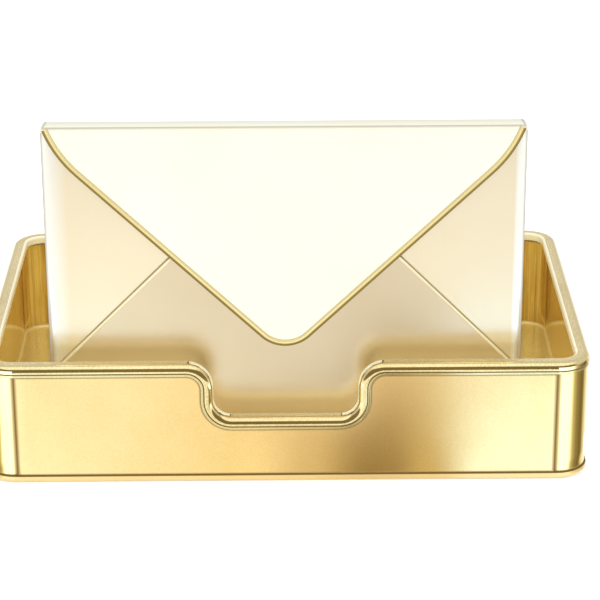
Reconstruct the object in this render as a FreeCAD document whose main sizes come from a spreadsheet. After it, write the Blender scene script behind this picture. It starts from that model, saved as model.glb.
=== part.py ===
import FreeCAD, Part

import math
import os

import Sketcher

# Desk tray in gold-coloured brass with a metal envelope standing behind its notched front wall.
# Frame: millimetres, +Z up, X across the tray, Y from front to back, origin on the desk under
# the middle of the tray.

SIZES = {
    # tray outside
    "tray_width": 295.0,
    "tray_depth": 186.0,
    "tray_height": 61.5,
    "tray_corner": 16.0,
    "wrap_return": 1.0,
    # rail round the top edge
    "rail_width": 7.4,
    "rail_bead": 4.1,
    "rail_drop": 5.9,
    "rail_overhang": 0.8,
    "rail_neck": 0.65,
    "rail_lip": 1.4,
    "rail_collar": 0.8,
    "rail_outer_edge": 2.8,
    "rail_inner_edge": 1.4,
    "rail_under_edge": 0.5,
    "rail_lip_edge": 0.3,
    # walls, base and floor
    "wall_sheet": 3.0,
    "base_lift": 0.4,
    "base_sheet": 3.4,
    "base_under_edge": 1.3,
    "base_upper_edge": 0.7,
    "floor_sheet": 3.0,
    # finger notch, measured on the rail's upper face
    "notch_half": 35.0,
    "notch_drop": 28.0,
    "notch_shoulder": 13.0,
    "notch_foot": 9.0,
    # feet
    "foot_radius": 7.0,
    "foot_height": 2.8,
    "foot_inset_x": 22.0,
    "foot_inset_y": 20.0,
    "foot_edge": 0.8,
    "foot_fit": 0.2,
    # screws
    "screw_head_radius": 2.7,
    "screw_head_height": 1.6,
    "screw_neck_radius": 1.5,
    "screw_thread_radius": 1.25,
    "screw_key_radius": 1.15,
    "screw_key_depth": 0.9,
    "screw_edge": 0.35,
    "screw_fit": 0.1,
    "base_screw_pitch_x": 95.0,
    "base_screw_pitch_y": 120.0,
    "base_screw_front": 48.0,
    "base_screw_grip": 2.2,
    "cradle_screw_pitch": 80.0,
    "cradle_screw_grip": 3.6,
    # envelope: C5 outline, built up in layers from front to back
    "envelope_width": 229.0,
    "envelope_height": 162.0,
    "envelope_offset": 18.0,
    "envelope_corner": 3.2,
    "flap_sheet": 1.0,
    "flap_gap": 0.8,
    "fold_sheet": 0.7,
    "pocket_depth": 4.4,
    "back_sheet": 1.0,
    "edge_wall": 3.0,
    "edge_foot": 5.0,
    "edge_round": 2.8,
    "mouth_drop": 3.2,
    # cradle that holds the envelope upright
    "cradle_seat": 6.6,
    "cradle_depth": 8.0,
    "cradle_cheek": 4.0,
    "cradle_edge": 1.5,
    "slide_gap": 0.3,
    # top flap of the envelope, with the cap that folds over the mouth
    "flap_slope": 43.6,
    "flap_point_drop": 115.7,
    "flap_point_radius": 15.6,
    "shoulder_half": 106.5,
    "shoulder_radius": 58.0,
    "shoulder_lean": 24.2,
    "cap_lip": 2.6,
    "cap_return": 4.0,
    "cap_fold": 1.4,
    "crease_drop": 2.0,
    "crease": 0.25,
    "trim_margin": 1.0,
    "flap_bead_half": 1.55,
    "flap_bead_rise": 0.8,
    "flap_bead_edge": 0.75,
    # lower flap of the envelope, the front of its pocket
    "pouch_inset": 4.0,
    "pouch_point_drop": 11.8,
    "pouch_point_radius": 60.0,
    "pouch_shoulder_radius": 10.0,
    "pouch_bead_half": 0.9,
    "pouch_bead_rise": 0.45,
    "pouch_bead_edge": 0.4,
    # side flaps of the envelope
    "side_point_half": 22.0,
    "side_point_drop": 81.7,
    "side_point_radius": 12.0,
    # hinge across the back of the envelope
    "hinge_drop": 5.7,
    "hinge_half": 100.0,
    "knuckle_radius": 1.3,
    "knuckle_gap": 0.3,
    "knuckle_rise": 0.3,
    "pin_radius": 0.6,
    "pin_gap": 0.05,
    "leaf_height": 11.0,
    "leaf_sheet": 0.7,
    "flap_leaf_sheet": 0.5,
}
KNUCKLES = 9
KEY_SIDES = 6

doc = FreeCAD.newDocument("envelope_tray")
sheet = doc.addObject("Spreadsheet::Sheet", "Sizes")
for row, (alias, number) in enumerate(SIZES.items(), start=1):
    sheet.set(f"A{row}", alias)
    sheet.set(f"B{row}", str(number))
    sheet.setAlias(f"B{row}", alias)
doc.recompute()


class Term:
    """A size with its value and the expression that binds it to the sheet."""

    def __init__(self, value, text=None):
        self.value = float(value)
        self.text = text if text is not None else repr(float(value))

    @staticmethod
    def of(other):
        return other if isinstance(other, Term) else Term(other)

    def __add__(self, other):
        other = Term.of(other)
        return Term(self.value + other.value, f"({self.text} + {other.text})")

    def __sub__(self, other):
        other = Term.of(other)
        return Term(self.value - other.value, f"({self.text} - {other.text})")

    def __mul__(self, other):
        other = Term.of(other)
        return Term(self.value * other.value, f"({self.text} * {other.text})")

    def __truediv__(self, other):
        other = Term.of(other)
        return Term(self.value / other.value, f"({self.text} / {other.text})")

    def __rsub__(self, other):
        return Term.of(other) - self

    def __neg__(self):
        return Term(-self.value, f"(-1 * {self.text})")

    __radd__ = __add__
    __rmul__ = __mul__


def size(alias):
    return Term(sheet.get(alias), f"Sizes.{alias}")


def sine(angle):
    return Term(math.sin(math.radians(angle.value)), f"sin({angle.text} * 1 deg)")


def cosine(angle):
    return Term(math.cos(math.radians(angle.value)), f"cos({angle.text} * 1 deg)")


def tangent(angle):
    return Term(math.tan(math.radians(angle.value)), f"tan({angle.text} * 1 deg)")


# ---------------------------------------------------------------- sketches and features


def new_body(label):
    body = doc.addObject("PartDesign::Body", label)
    body.Label = label
    return body


def new_sketch(body, name, plane, offset=0.0):
    """A sketch on the body's own XY, XZ or YZ plane, moved along that plane's normal."""
    sketch = body.newObject("Sketcher::SketchObject", f"{body.Name}_{name}")
    role = f"{plane}_Plane"
    base = [item for item in body.Origin.OriginFeatures if item.Role == role][0]
    sketch.AttachmentSupport = [(base, "")]
    sketch.MapMode = "FlatFace"
    sketch.setExpression("AttachmentOffset.Base.z", Term.of(offset).text)
    doc.recompute()
    return sketch


def fix_point(sketch, geometry, position, across, up):
    """Ties a point to the sketch's origin by two bound distances."""
    for kind, distance, axis in (("DistanceX", Term.of(across), -2), ("DistanceY", Term.of(up), -1)):
        if distance.value == 0.0:
            sketch.addConstraint(Sketcher.Constraint("PointOnObject", geometry, position, axis))
            continue
        rule = Sketcher.Constraint(kind, -1, 1, geometry, position, distance.value)
        index = sketch.addConstraint(rule)
        sketch.setExpression(f"Constraints[{index}]", distance.text)


def add_circle(sketch, across, up, radius):
    across, up, radius = Term.of(across), Term.of(up), Term.of(radius)
    centre = FreeCAD.Vector(across.value, up.value, 0)
    circle = Part.Circle(centre, FreeCAD.Vector(0, 0, 1), radius.value)
    geometry = sketch.addGeometry(circle, False)
    fix_point(sketch, geometry, 3, across, up)
    index = sketch.addConstraint(Sketcher.Constraint("Radius", geometry, radius.value))
    sketch.setExpression(f"Constraints[{index}]", radius.text)


def corner_arc(before, here, after, radius):
    """The arc that rounds a corner, its two ends, and which of them the path enters by."""
    arriving = (before - here).normalize()
    leaving = (after - here).normalize()
    half = arriving.getAngle(leaving) / 2
    reach = radius / math.tan(half)
    bisector = (arriving + leaving).normalize()
    centre = here + bisector * (radius / math.sin(half))
    start = here + arriving * reach
    end = here + leaving * reach
    clockwise = arriving.cross(leaving).z > 0
    first, last = (end, start) if clockwise else (start, end)
    first_angle = math.atan2(first.y - centre.y, first.x - centre.x)
    last_angle = math.atan2(last.y - centre.y, last.x - centre.x)
    if last_angle < first_angle:
        last_angle += 2 * math.pi
    circle = Part.Circle(centre, FreeCAD.Vector(0, 0, 1), radius)
    arc = Part.ArcOfCircle(circle, first_angle, last_angle)
    return arc, start, end, 2 if clockwise else 1


def draw_path(sketch, corners, closed=True):
    """Draws a path of straight runs and rounded corners.

    Each corner is (across, up) or (across, up, radius). A corner with a radius is held by its
    sharp point, which stays as a construction point on both of its runs.
    """
    points = [FreeCAD.Vector(Term.of(c[0]).value, Term.of(c[1]).value, 0) for c in corners]
    count = len(corners)
    entry, leave, arcs = {}, {}, {}
    for i, corner in enumerate(corners):
        entry[i] = leave[i] = points[i]
        if len(corner) == 3:
            radius = Term.of(corner[2]).value
            following = points[(i + 1) % count]
            arc, entry[i], leave[i], way_in = corner_arc(points[i - 1], points[i], following, radius)
            arcs[i] = (sketch.addGeometry(arc, False), way_in)
    runs = {}
    for i in range(count if closed else count - 1):
        j = (i + 1) % count
        runs[i] = sketch.addGeometry(Part.LineSegment(leave[i], entry[j]), False)
    for i, corner in enumerate(corners):
        before = runs.get((i - 1) % count if closed else i - 1)
        after = runs.get(i)
        if i in arcs:
            arc, way_in = arcs[i]
            sharp = sketch.addGeometry(Part.Point(points[i]), True)
            sketch.addConstraint(Sketcher.Constraint("Tangent", before, 2, arc, way_in))
            sketch.addConstraint(Sketcher.Constraint("Tangent", arc, 3 - way_in, after, 1))
            sketch.addConstraint(Sketcher.Constraint("PointOnObject", sharp, 1, before))
            sketch.addConstraint(Sketcher.Constraint("PointOnObject", sharp, 1, after))
            radius = Term.of(corner[2])
            index = sketch.addConstraint(Sketcher.Constraint("Radius", arc, radius.value))
            sketch.setExpression(f"Constraints[{index}]", radius.text)
            fix_point(sketch, sharp, 1, corner[0], corner[1])
        elif before is None:
            fix_point(sketch, after, 1, corner[0], corner[1])
        else:
            if after is not None:
                sketch.addConstraint(Sketcher.Constraint("Coincident", before, 2, after, 1))
            fix_point(sketch, before, 2, corner[0], corner[1])
    doc.recompute()


def flipped(corners):
    """The same corners on the other side of the middle line, in the opposite order."""
    return [(-Term.of(c[0]),) + tuple(c[1:]) for c in reversed(corners)]


def mirrored(corners):
    """The corners of a right-hand half outline, followed by the same corners on the left."""
    return list(corners) + flipped([c for c in corners if Term.of(c[0]).value != 0.0])


def add_feature(body, kind, name, profile, length=None, **settings):
    feature = body.newObject(f"PartDesign::{kind}", f"{body.Name}_{name}")
    feature.Profile = profile
    for key, value in settings.items():
        setattr(feature, key, value)
    if length is not None:
        feature.setExpression("Length", Term.of(length).text)
    profile.Visibility = False
    doc.recompute()
    return feature


def round_edges(body, name, radius, chosen):
    """Fillets the edges of the body's tip that the test picks."""
    base = body.Tip
    edges = [f"Edge{i}" for i, edge in enumerate(base.Shape.Edges, start=1) if chosen(edge)]
    fillet = body.newObject("PartDesign::Fillet", f"{body.Name}_{name}")
    fillet.Base = (base, edges)
    fillet.setExpression("Radius", Term.of(radius).text)
    doc.recompute()


def sweep(body, name, section, path):
    pipe = body.newObject("PartDesign::AdditivePipe", f"{body.Name}_{name}")
    pipe.Profile = section
    pipe.Spine = (path, [f"Edge{i + 1}" for i in range(len(path.Shape.Edges))])
    section.Visibility = False
    doc.recompute()


def slab(label, corners, front, thickness):
    """A plate that stands upright, facing the front, from the plane Y = front backwards."""
    body = new_body(label)
    sketch = new_sketch(body, "outline", "XZ", -Term.of(front))
    draw_path(sketch, corners)
    add_feature(body, "Pad", "plate", sketch, thickness, Reversed=True)
    return body


def place(body, **where):
    """Moves a body, with each coordinate bound to the sheet."""
    for axis, distance in where.items():
        body.setExpression(f"Placement.Base.{axis}", Term.of(distance).text)
    doc.recompute()


# ---------------------------------------------------------------- derived places

half_width = size("tray_width") / 2
half_depth = size("tray_depth") / 2
seam_half = half_width - size("tray_corner") - size("wrap_return")
front = -half_depth
wall_half = half_width - size("rail_overhang")
wall_end = half_depth - size("rail_overhang")
wall_corner = size("tray_corner") - size("rail_overhang")
bay_half = wall_half - size("wall_sheet")
bay_end = wall_end - size("wall_sheet")
bay_corner = wall_corner - size("wall_sheet")
wall_foot = size("base_lift") + size("base_sheet")
wall_top = size("tray_height") - size("rail_drop")
floor_top = wall_foot + size("floor_sheet")

seat = floor_top + size("cradle_seat")
crown = seat + size("envelope_height")
envelope_half = size("envelope_width") / 2
flap_front = front + size("envelope_offset")
flap_back = flap_front + size("flap_sheet")
pouch_front = flap_back + size("flap_gap")
case_front = pouch_front + size("fold_sheet")
pocket_front = case_front + size("fold_sheet")
pocket_back = pocket_front + size("pocket_depth")
case_back = pocket_back + size("back_sheet")
pocket_half = envelope_half - size("edge_wall")
mouth = crown - size("mouth_drop")

return_front = case_back + size("slide_gap")
return_back = return_front + size("flap_sheet")
hinge_y = case_back + size("knuckle_radius") + size("knuckle_rise")
hinge_z = crown - size("hinge_drop")

cradle_top = seat + size("cradle_depth")
slot_front = pouch_front - size("pouch_bead_rise") - size("slide_gap")
slot_back = case_back + size("slide_gap")
slot_half = envelope_half + size("slide_gap")
cradle_middle = (slot_front + slot_back) / 2

lip = crown - size("cap_lip")
point = crown - size("flap_point_drop")
shoulder = point + size("shoulder_half") * tangent(size("flap_slope"))
flap_top_half = size("shoulder_half") + (lip - shoulder) * tangent(size("shoulder_lean"))
pouch_half = envelope_half - size("pouch_inset")
pouch_foot = seat + size("pouch_inset")
pouch_point = crown - size("pouch_point_drop")
knuckle_pitch = size("hinge_half") * 2 / KNUCKLES


def round_plate(label, half_x, half_y, corner, bottom, thickness):
    """A flat plate with round corners, lying level."""
    body = new_body(label)
    sketch = new_sketch(body, "outline", "XY", bottom)
    draw_path(sketch, mirrored([(half_x, half_y, corner), (half_x, -half_y, corner)]))
    add_feature(body, "Pad", "plate", sketch, thickness)
    return body


def drill(body, name, centres, radius, start, depth, downward=False):
    """Round holes from the level Z = start, upwards unless told otherwise."""
    sketch = new_sketch(body, name, "XY", start)
    for across, along in centres:
        add_circle(sketch, across, along, radius)
    before = body.Tip.Shape.Volume
    add_feature(body, "Pocket", f"{name}_cut", sketch, depth, Reversed=not downward)
    if body.Tip.Shape.Volume >= before:
        raise RuntimeError(f"{name} in {body.Label} removed nothing")


# ---------------------------------------------------------------- tray

foot_x = wall_half - size("foot_inset_x")
foot_y = wall_end - size("foot_inset_y")
foot_places = {
    "foot_front_left": (-foot_x, -foot_y),
    "foot_front_right": (foot_x, -foot_y),
    "foot_rear_left": (-foot_x, foot_y),
    "foot_rear_right": (foot_x, foot_y),
}
base_screw_x = -size("base_screw_pitch_x")
base_screw_y = front + size("base_screw_front")
base_screw_places = [
    (base_screw_x + size("base_screw_pitch_x") * column, base_screw_y + size("base_screw_pitch_y") * line)
    for line in range(2)
    for column in range(3)
]
cradle_screw_x = -size("cradle_screw_pitch")
cradle_screw_places = [
    (cradle_screw_x + size("cradle_screw_pitch") * column, cradle_middle) for column in range(3)
]
head_seat = size("base_lift") + size("screw_head_height") + size("screw_fit")


def make_base_plate():
    lift, sheet = size("base_lift"), size("base_sheet")
    body = round_plate("base_plate", half_width, half_depth, size("tray_corner"), lift, sheet)
    low = size("base_lift").value
    high = wall_foot.value
    round_edges(body, "under_edge", size("base_under_edge"), lambda e: abs(e.BoundBox.ZMax - low) < 1e-6)
    round_edges(body, "upper_edge", size("base_upper_edge"), lambda e: abs(e.BoundBox.ZMin - high) < 1e-6)
    under = size("base_lift")
    well = size("foot_radius") + size("foot_fit")
    drill(body, "foot_wells", foot_places.values(), well, under, size("foot_height") - under)
    screws = base_screw_places + cradle_screw_places
    head = size("screw_head_radius") + size("screw_fit")
    neck = size("screw_neck_radius") + size("screw_fit")
    drill(body, "head_wells", screws, head, under, head_seat - under)
    drill(body, "screw_holes", screws, neck, under, size("base_sheet"))


def make_floor_plate():
    body = round_plate("floor_plate", bay_half, bay_end, bay_corner, wall_foot, size("floor_sheet"))
    grip = size("base_screw_grip")
    drill(body, "threads", base_screw_places, size("screw_thread_radius"), wall_foot, grip)
    neck = size("screw_neck_radius") + size("screw_fit")
    drill(body, "screw_holes", cradle_screw_places, neck, wall_foot, size("floor_sheet"))


def make_front_wall():
    """The flat front with the finger notch, cut lower than the rail by the rail's own drop."""
    drop = size("rail_drop")
    notch_half = size("notch_half") + drop
    sill = wall_top - size("notch_drop")
    corners = mirrored([
        (seam_half, wall_foot),
        (seam_half, wall_top),
        (notch_half, wall_top, size("notch_shoulder") - drop),
        (notch_half, sill, size("notch_foot") + drop),
    ])
    slab("front_wall", corners, front + size("rail_overhang"), size("wall_sheet"))


def make_wall_wrap():
    """The strip bent round the other three sides and all four corners, seamed beside the front wall."""
    body = new_body("wall_wrap")
    sketch = new_sketch(body, "outline", "XY", wall_foot)
    outside = [
        (seam_half, -wall_end),
        (wall_half, -wall_end, wall_corner),
        (wall_half, wall_end, wall_corner),
    ]
    inside = [
        (bay_half, bay_end, bay_corner),
        (bay_half, -bay_end, bay_corner),
        (seam_half, -bay_end),
    ]
    draw_path(sketch, outside + flipped(outside) + flipped(inside) + inside)
    add_feature(body, "Pad", "strip", sketch, wall_top - wall_foot)


def draw_rail_section(sketch):
    """The rail's section: bead, neck and lip outside, bead and collar inside."""
    top = size("tray_height")
    neck_y = front + size("rail_neck")
    lip_y = front + size("rail_neck") / 2
    bead_foot = top - size("rail_bead")
    lip_top = wall_top + size("rail_lip")
    inner = front + size("rail_width")
    collar = front + size("rail_overhang") + size("wall_sheet") + size("rail_collar")
    draw_path(sketch, [
        (front, top, size("rail_outer_edge")),
        (front, bead_foot, size("rail_under_edge")),
        (neck_y, bead_foot),
        (neck_y, lip_top),
        (lip_y, lip_top, size("rail_lip_edge")),
        (lip_y, wall_top, size("rail_lip_edge")),
        (collar, wall_top),
        (collar, bead_foot),
        (inner, bead_foot, size("rail_under_edge")),
        (inner, top, size("rail_inner_edge")),
    ])


def make_front_rim():
    body = new_body("front_rim")
    section = new_sketch(body, "section", "YZ", -seam_half)
    draw_rail_section(section)
    path = new_sketch(body, "path", "XZ", -front)
    top = size("tray_height")
    sill = top - size("notch_drop")
    left = [(-seam_half, top), (-size("notch_half"), top, size("notch_shoulder"))]
    left.append((-size("notch_half"), sill, size("notch_foot")))
    draw_path(path, left + flipped(left), closed=False)
    sweep(body, "rail", section, path)


def make_rim_wrap():
    body = new_body("rim_wrap")
    section = new_sketch(body, "section", "YZ", seam_half)
    draw_rail_section(section)
    path = new_sketch(body, "path", "XY", size("tray_height"))
    corner = size("tray_corner")
    right = [(seam_half, front), (half_width, front, corner), (half_width, half_depth, corner)]
    draw_path(path, right + flipped(right), closed=False)
    sweep(body, "rail", section, path)


def revolve(body, sketch):
    """Turns a section once round the upright axis."""
    axis = (sketch, ["V_Axis"])
    return add_feature(body, "Revolution", "turning", sketch, ReferenceAxis=axis, Angle=360.0)


def make_foot(label, across, along):
    body = new_body(label)
    sketch = new_sketch(body, "section", "XZ")
    radius, height = size("foot_radius"), size("foot_height")
    draw_path(sketch, [(0, 0), (radius, 0, size("foot_edge")), (radius, height), (0, height)])
    revolve(body, sketch)
    place(body, x=across, y=along)


def make_screws(label, places, grip_start, grip, **steps):
    """A group of low-head socket screws, all alike, in rows from the first place."""
    body = new_body(label)
    sketch = new_sketch(body, "section", "XZ")
    head, neck, thread = size("screw_head_radius"), size("screw_neck_radius"), size("screw_thread_radius")
    height = size("screw_head_height")
    shank = height + (grip_start - head_seat)
    draw_path(sketch, [
        (0, 0), (head, 0, size("screw_edge")), (head, height), (neck, height),
        (neck, shank), (thread, shank), (thread, shank + grip), (0, shank + grip),
    ])
    turned = revolve(body, sketch)
    key = new_sketch(body, "key", "XY")
    radius = size("screw_key_radius")
    turns = [Term((i + 0.5) * 360 / KEY_SIDES) for i in range(KEY_SIDES)]
    draw_path(key, [(radius * cosine(turn), radius * sine(turn)) for turn in turns])
    socket = add_feature(body, "Pocket", "socket", key, size("screw_key_depth"), Reversed=True)
    repeat(body, [turned, socket], **steps)
    place(body, x=places[0][0], y=places[0][1], z=head_seat - height)


def repeat(body, originals, across, across_count, along=None, along_count=1):
    """Repeats the originals along X, and along Y where a second step is given."""
    axes = {item.Role: item for item in body.Origin.OriginFeatures}
    rows = body.newObject("PartDesign::LinearPattern", f"{body.Name}_rows")
    rows.Originals = originals
    rows.Direction = (axes["X_Axis"], [""])
    rows.setExpression("Length", (across * (across_count - 1)).text)
    rows.Occurrences = across_count
    if along is not None:
        rows.Direction2 = (axes["Y_Axis"], [""])
        rows.setExpression("Length2", (along * (along_count - 1)).text)
        rows.Occurrences2 = along_count
    body.Tip = rows
    doc.recompute()


def make_cradle():
    """A bar with a slot as wide as the envelope, screwed to the floor."""
    body = new_body("envelope_cradle")
    cheek, edge = size("cradle_cheek"), size("cradle_edge")
    end = slot_half + cheek
    section = new_sketch(body, "section", "YZ", -end)
    draw_path(section, [
        (slot_front - cheek, floor_top),
        (slot_front - cheek, cradle_top, edge),
        (slot_back + cheek, cradle_top, edge),
        (slot_back + cheek, floor_top),
    ])
    add_feature(body, "Pad", "bar", section, end * 2)
    slot = new_sketch(body, "slot", "XY", cradle_top)
    draw_path(slot, mirrored([(slot_half, slot_back), (slot_half, slot_front)]))
    add_feature(body, "Pocket", "slot_cut", slot, size("cradle_depth"))
    thread, grip = size("screw_thread_radius"), size("cradle_screw_grip")
    drill(body, "threads", cradle_screw_places, thread, floor_top, grip)


# ---------------------------------------------------------------- envelope


def make_envelope_back():
    """The shallow pan that makes the back, the rounded sides and the bottom of the envelope."""
    outline = mirrored([(envelope_half, mouth), (envelope_half, seat, size("envelope_corner"))])
    body = slab("envelope_back", outline, case_front, case_back - case_front)
    faces = (case_front.value, case_back.value)

    def on_outline(edge):
        box = edge.BoundBox
        flat = any(abs(box.YMin - y) < 1e-6 and abs(box.YMax - y) < 1e-6 for y in faces)
        return flat and box.ZMin < mouth.value - 1e-6

    round_edges(body, "edge", size("edge_round"), on_outline)
    cavity = new_sketch(body, "cavity", "XZ", -case_front)
    high = mouth + size("edge_foot")
    low = seat + size("edge_foot")
    draw_path(cavity, mirrored([(pocket_half, high), (pocket_half, low)]))
    add_feature(body, "Pocket", "cavity_cut", cavity, pocket_back - case_front)


def make_side_flap(label, side):
    """A triangular flap folded in from one side of the envelope; side is 1 or -1."""
    slab(label, [
        (pocket_half * side, mouth),
        (pocket_half * side, seat + size("edge_foot")),
        (size("side_point_half") * side, crown - size("side_point_drop"), size("side_point_radius")),
    ], case_front, size("fold_sheet"))


def pouch_corners():
    return [
        (0, pouch_point, size("pouch_point_radius")),
        (pouch_half, pouch_point - pouch_half, size("pouch_shoulder_radius")),
        (pouch_half, pouch_foot),
    ]


def flap_corners():
    return [
        (0, point, size("flap_point_radius")),
        (size("shoulder_half"), shoulder, size("shoulder_radius")),
        (flap_top_half, lip),
    ]


def open_path(corners):
    """The half outline that starts on the middle line, drawn from its left end to its right end."""
    return flipped(corners[1:]) + list(corners)


def draw_bead_section(sketch, start, half, rise, edge, face, back):
    """A hem that lies on the sheet's face inside its edge and wraps the edge outside it."""
    draw_path(sketch, [
        (start, back),
        (start, face),
        (start + half, face),
        (start + half, face - rise, edge),
        (start - half, face - rise, edge),
        (start - half, back),
    ])


def make_bottom_flap():
    slab("bottom_flap", mirrored(pouch_corners()), pouch_front, size("fold_sheet"))


def make_bottom_flap_bead():
    body = new_body("bottom_flap_bead")
    section = new_sketch(body, "section", "XY", pouch_foot)
    draw_bead_section(section, -pouch_half, size("pouch_bead_half"), size("pouch_bead_rise"),
                      size("pouch_bead_edge"), pouch_front, case_front)
    path = new_sketch(body, "path", "XZ", -pouch_front)
    draw_path(path, open_path(pouch_corners()), closed=False)
    sweep(body, "bead", section, path)


def make_flap_panel():
    """The top flap: a sheet in front of the envelope and a cap folded over its mouth."""
    body = new_body("flap_panel")
    fold, crease = size("cap_fold"), size("crease")
    crease_z = crown - size("crease_drop")
    section = new_sketch(body, "cap_section", "YZ", -envelope_half)
    draw_path(section, [
        (flap_front, lip),
        (flap_front, crease_z - crease),
        (flap_front + crease, crease_z),
        (flap_front, crease_z + crease),
        (flap_front, crown, fold),
        (return_back, crown, fold),
        (return_back, crown - size("cap_return")),
        (return_front, crown - size("cap_return")),
        (return_front, lip),
    ])
    add_feature(body, "Pad", "cap", section, envelope_half * 2)
    cavity = new_sketch(body, "cap_cavity", "XZ", -flap_back)
    inside = envelope_half - size("flap_sheet")
    corner = size("envelope_corner")
    roof = crown - size("flap_sheet")
    draw_path(cavity, mirrored([(inside, roof, corner - size("flap_sheet")), (inside, lip - corner)]))
    add_feature(body, "Pocket", "cap_hollow", cavity, return_front - flap_back)
    front_sheet = new_sketch(body, "sheet_outline", "XZ", -flap_front)
    draw_path(front_sheet, mirrored(flap_corners()))
    add_feature(body, "Pad", "sheet", front_sheet, size("flap_sheet"), Reversed=True)
    trim = new_sketch(body, "corner_outline", "XZ", -flap_front)
    beyond = envelope_half + size("trim_margin")
    above = crown + size("trim_margin")
    outside_corner = [
        (beyond, above),
        (beyond, crown - corner),
        (envelope_half, crown - corner - fold),
        (envelope_half, crown, corner),
        (envelope_half - corner - fold, crown),
        (envelope_half - corner - fold, above),
    ]
    draw_path(trim, outside_corner)
    draw_path(trim, flipped(outside_corner))
    add_feature(body, "Pocket", "corner_trim", trim, return_back - flap_front)


def make_flap_bead():
    body = new_body("flap_bead")
    section = new_sketch(body, "section", "XY", lip)
    lean = size("shoulder_lean")
    section.AttachmentOffset = FreeCAD.Placement(
        FreeCAD.Vector(-flap_top_half.value, 0, lip.value),
        FreeCAD.Rotation(FreeCAD.Vector(0, -1, 0), lean.value))
    section.setExpression("AttachmentOffset.Base.x", (-flap_top_half).text)
    section.setExpression("AttachmentOffset.Rotation.Angle", f"{lean.text} * 1 deg")
    draw_bead_section(section, Term(0), size("flap_bead_half"), size("flap_bead_rise"),
                      size("flap_bead_edge"), flap_front, flap_back)
    path = new_sketch(body, "path", "XZ", -flap_front)
    draw_path(path, open_path(flap_corners()), closed=False)
    sweep(body, "bead", section, path)


# ---------------------------------------------------------------- hinge


def add_knuckles(body, first, bore):
    """Every second knuckle of the hinge, from the given one, with the pin's bore."""
    gap = size("knuckle_gap")
    for i in range(first, KNUCKLES, 2):
        start = knuckle_pitch * i - size("hinge_half")
        barrel = new_sketch(body, f"knuckle_{i}", "YZ", start + gap / 2)
        add_circle(barrel, hinge_y, hinge_z, size("knuckle_radius"))
        add_feature(body, "Pad", f"barrel_{i}", barrel, knuckle_pitch - gap)
    hole = new_sketch(body, "bore", "YZ", size("hinge_half"))
    add_circle(hole, hinge_y, hinge_z, bore)
    add_feature(body, "Pocket", "bore_cut", hole, size("hinge_half") * 2)


def add_leaf(body, first, near, face, thickness, far):
    """A leaf with square teeth that reach the hinge line at every second knuckle."""
    gap = size("knuckle_gap")
    corners = [(-size("hinge_half"), far)]
    for i in range(KNUCKLES):
        start = knuckle_pitch * i - size("hinge_half")
        own = (i - first) % 2 == 0
        height = hinge_z if own else near
        inset = gap / 2 if own else -gap / 2
        left = start + inset if i > 0 else Term.of(start)
        right = start + knuckle_pitch - inset if i < KNUCKLES - 1 else start + knuckle_pitch
        corners += [(left, height), (right, height)]
    corners.append((size("hinge_half"), far))
    sketch = new_sketch(body, "leaf_outline", "XZ", -face)
    draw_path(sketch, corners)
    add_feature(body, "Pad", "leaf", sketch, thickness, Reversed=True)


def make_back_leaf():
    body = new_body("hinge_back_leaf")
    near = hinge_z - size("knuckle_radius") - size("knuckle_gap")
    add_leaf(body, 0, near, case_back, size("leaf_sheet"), hinge_z - size("leaf_height"))
    add_knuckles(body, 0, size("pin_radius"))


def make_flap_leaf():
    body = new_body("hinge_flap_leaf")
    near = hinge_z + size("knuckle_radius") + size("knuckle_gap")
    add_leaf(body, 1, near, return_back, size("flap_leaf_sheet"), crown - size("cap_fold"))
    add_knuckles(body, 1, size("pin_radius") + size("pin_gap"))


def make_hinge_pin():
    body = new_body("hinge_pin")
    sketch = new_sketch(body, "section", "YZ", -size("hinge_half"))
    add_circle(sketch, hinge_y, hinge_z, size("pin_radius"))
    add_feature(body, "Pad", "rod", sketch, size("hinge_half") * 2)


# ---------------------------------------------------------------- checks and files


def check_document():
    for item in doc.Objects:
        if "Invalid" in item.State or "Error" in item.State:
            raise RuntimeError(f"{item.Name} failed: {item.State}")
    for item in doc.Objects:
        if item.TypeId == "Sketcher::SketchObject" and item.solve() != 0:
            raise RuntimeError(f"{item.Name} is not solved")


def write_pieces():
    """Writes each body's shape to its own file, once every one of them is sound."""
    bodies = [item for item in doc.Objects if item.TypeId == "PartDesign::Body"]
    for body in bodies:
        if body.Shape.isNull() or not body.Shape.isValid() or not body.Shape.Solids:
            raise RuntimeError(f"{body.Label} has no sound shape")
    os.makedirs("parts", exist_ok=True)
    for body in bodies:
        body.Shape.exportStep(f"parts/{body.Label}.step")
        print(f"{body.Label}: {len(body.Shape.Solids)} solids, {body.Shape.Volume / 1000:.2f} cm3")


def main():
    make_base_plate()
    make_floor_plate()
    make_front_wall()
    make_wall_wrap()
    make_front_rim()
    make_rim_wrap()
    for label, (across, along) in foot_places.items():
        make_foot(label, across, along)
    make_screws("base_screws", base_screw_places, wall_foot, size("base_screw_grip"),
                across=size("base_screw_pitch_x"), across_count=3,
                along=size("base_screw_pitch_y"), along_count=2)
    make_screws("cradle_screws", cradle_screw_places, floor_top, size("cradle_screw_grip"),
                across=size("cradle_screw_pitch"), across_count=3)
    make_cradle()
    make_envelope_back()
    make_side_flap("left_side_flap", -1)
    make_side_flap("right_side_flap", 1)
    make_bottom_flap()
    make_bottom_flap_bead()
    make_flap_panel()
    make_flap_bead()
    make_back_leaf()
    make_flap_leaf()
    make_hinge_pin()
    check_document()
    write_pieces()


main()
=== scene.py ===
"""Looks of the gold desk tray and the envelope that stands in it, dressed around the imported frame."""

import logging
import math
from collections.abc import Callable, Sequence
from dataclasses import dataclass, field, replace
from enum import Enum

import bmesh
import bpy
from mathutils import Matrix, Vector


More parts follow.
